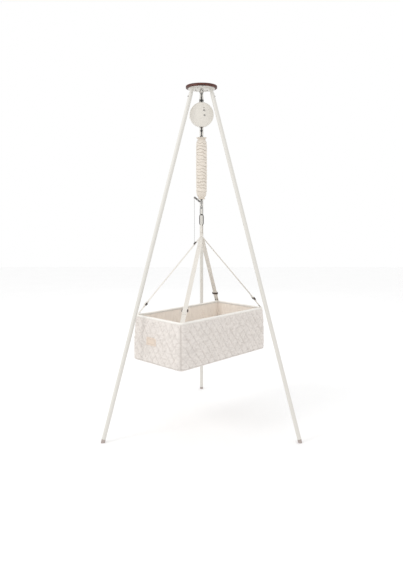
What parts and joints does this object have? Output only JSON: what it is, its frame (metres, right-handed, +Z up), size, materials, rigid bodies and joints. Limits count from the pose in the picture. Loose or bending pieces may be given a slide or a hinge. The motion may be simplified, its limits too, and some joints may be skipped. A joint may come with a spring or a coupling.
{
  "type": "bassinet on stand",
  "caption": "Tripod of slanted tubes carrying a soft quilted bassinet that hangs on webbing straps from a covered coil spring and a round drive unit.",
  "frame": {"origin": "on the floor, at the centre of the bounding box's bottom face", "axes": "+Z up along the height; the drive unit's face and the stand's two front legs are towards -Y, with one leg straight back towards +Y"},
  "size_m": [1.0736, 0.9937, 1.892],
  "materials": {
    "walnut": "satin",
    "board": "satin",
    "leg_paint": "satin",
    "steel": "satin",
    "dark_steel": "satin",
    "bright_steel": "polished",
    "black_metal": "satin",
    "brass": "satin",
    "foot_rubber": "matte",
    "shell_plastic": "satin",
    "grey_plastic": "satin",
    "black_plastic": "satin",
    "board_green": "satin",
    "cotton": "matte",
    "quilt": "matte",
    "lining_cloth": "matte",
    "mattress_cloth": "matte",
    "binding_cloth": "matte",
    "webbing": "matte",
    "dark_webbing": "matte",
    "cord_grey": "matte",
    "label_leather": "matte"
  },
  "bodies": {
    "stand": {"top_disc": "walnut", "hub": "leg_paint", "hub_screws": "steel", "leg_left": "leg_paint", "leg_right": "leg_paint", "leg_back": "leg_paint", "foot_left": "foot_rubber", "foot_right": "foot_rubber", "foot_back": "foot_rubber", "leg_screws": "steel", "eye_bolt": "steel", "eye_nut": "steel"},
    "top_hook": {"top_hook": "black_metal"},
    "top_gate": {"top_hook_gate": "steel"},
    "motor": {"motor_front_shell": "shell_plastic", "motor_back_shell": "shell_plastic", "shell_screws": "steel", "motor_chassis": "steel", "hanger_pin": "steel", "drum_axle": "steel", "drive_motor": "steel", "circuit_board": "board_green", "status_lens": "black_plastic", "power_inlet": "shell_plastic", "strap_grommet": "black_plastic"},
    "drum": {"drum_gear": "grey_plastic", "strap_coil": "dark_webbing"},
    "pinion": {"pinion": "brass"},
    "power_button": {"power_button": "grey_plastic"},
    "speed_button": {"speed_button": "grey_plastic"},
    "pull_hook": {"pull_strap": "dark_webbing", "pull_hook": "black_metal", "spring_top_yoke": "dark_steel", "spring": "steel", "spring_cover": "cotton"},
    "pull_gate": {"pull_hook_gate": "black_metal"},
    "spring_foot": {"spring_bottom_yoke": "dark_steel", "swivel_head": "steel", "cord_arm": "dark_steel"},
    "cradle": {"swivel_stud": "steel", "carabiner": "bright_steel", "webbing_ring": "dark_steel", "strap_loop": "webbing", "strap_back": "webbing", "strap_left": "webbing", "strap_front": "webbing", "strap_right": "webbing", "strap_tabs": "webbing", "strap_sliders": "black_plastic", "tab_snaps": "dark_steel", "safety_cord": "cord_grey", "cord_clip": "black_plastic", "basket_shell": "quilt", "base_board": "board", "lining": "lining_cloth", "mattress": "mattress_cloth", "rim_wire": "steel", "rim_binding": "binding_cloth", "label_patch": "label_leather"},
    "carabiner_gate": {"carabiner_gate": "bright_steel"}
  },
  "joints": [
    {"name": "hook_swing", "type": "hinge", "parent": "stand", "child": "top_hook", "pos_m": [0, -0.1272, 1.8531], "axis": [-0.1736, 0.9848, 0], "range_deg": [-0.45, 0.45]},
    {"name": "motor_swing", "type": "hinge", "parent": "top_hook", "child": "motor", "pos_m": [0, -0.1272, 1.8165], "axis": [0.9848, 0.1736, 0], "range_deg": [-0.45, 0.45]},
    {"name": "top_gate_hinge", "type": "hinge", "parent": "top_hook", "child": "top_gate", "pos_m": [-0.0013, -0.11981, 1.83677], "axis": [0.9848, 0.1736, 0], "range_deg": [0, 18], "stiffness_Nm_per_rad": 0.05},
    {"name": "hook_travel", "type": "slide", "parent": "motor", "child": "pull_hook", "axis": [0, 0, -1], "range_m": [0, 0.024]},
    {"name": "drum_spin", "type": "hinge", "parent": "motor", "child": "drum", "pos_m": [-0.01325, -0.12954, 1.7345], "axis": [0.1736, -0.9848, 0], "range_deg": [-102.5, 0]},
    {"name": "pinion_spin", "type": "hinge", "parent": "motor", "child": "pinion", "pos_m": [0.01316, -0.12488, 1.757], "axis": [0.1736, -0.9848, 0], "range_deg": [0, 307.5]},
    {"name": "power_press", "type": "slide", "parent": "motor", "child": "power_button", "axis": [-0.1736, 0.9848, 0], "range_m": [0, 0.0015], "stiffness_N_per_m": 500},
    {"name": "speed_press", "type": "slide", "parent": "motor", "child": "speed_button", "axis": [-0.1736, 0.9848, 0], "range_m": [0, 0.0015], "stiffness_N_per_m": 500},
    {"name": "pull_gate_hinge", "type": "hinge", "parent": "pull_hook", "child": "pull_gate", "pos_m": [-0.00104, -0.12129, 1.6369], "axis": [0.9848, 0.1736, 0], "range_deg": [0, 18], "stiffness_Nm_per_rad": 0.05},
    {"name": "spring_bounce", "type": "slide", "parent": "pull_hook", "child": "spring_foot", "axis": [0, 0, -1], "range_m": [-0.01, 0.08], "stiffness_N_per_m": 400, "springref_m": -0.1706, "deforming": ["spring", "spring_cover"]},
    {"name": "swivel_turn", "type": "hinge", "parent": "spring_foot", "child": "cradle", "pos_m": [0, -0.1272, 1.265], "axis": [0, 0, 1], "range_deg": [-45, 45]},
    {"name": "carabiner_gate_hinge", "type": "hinge", "parent": "cradle", "child": "carabiner_gate", "pos_m": [0.00755, -0.1182, 1.2183], "axis": [0.766, -0.6428, 0], "range_deg": [0, 22], "stiffness_Nm_per_rad": 0.08}
  ],
  "couplings": [
    {"joint": "drum_spin", "follows": "hook_travel", "rad_per_m": -74.349},
    {"joint": "pinion_spin", "follows": "hook_travel", "rad_per_m": 223.05}
  ]
}
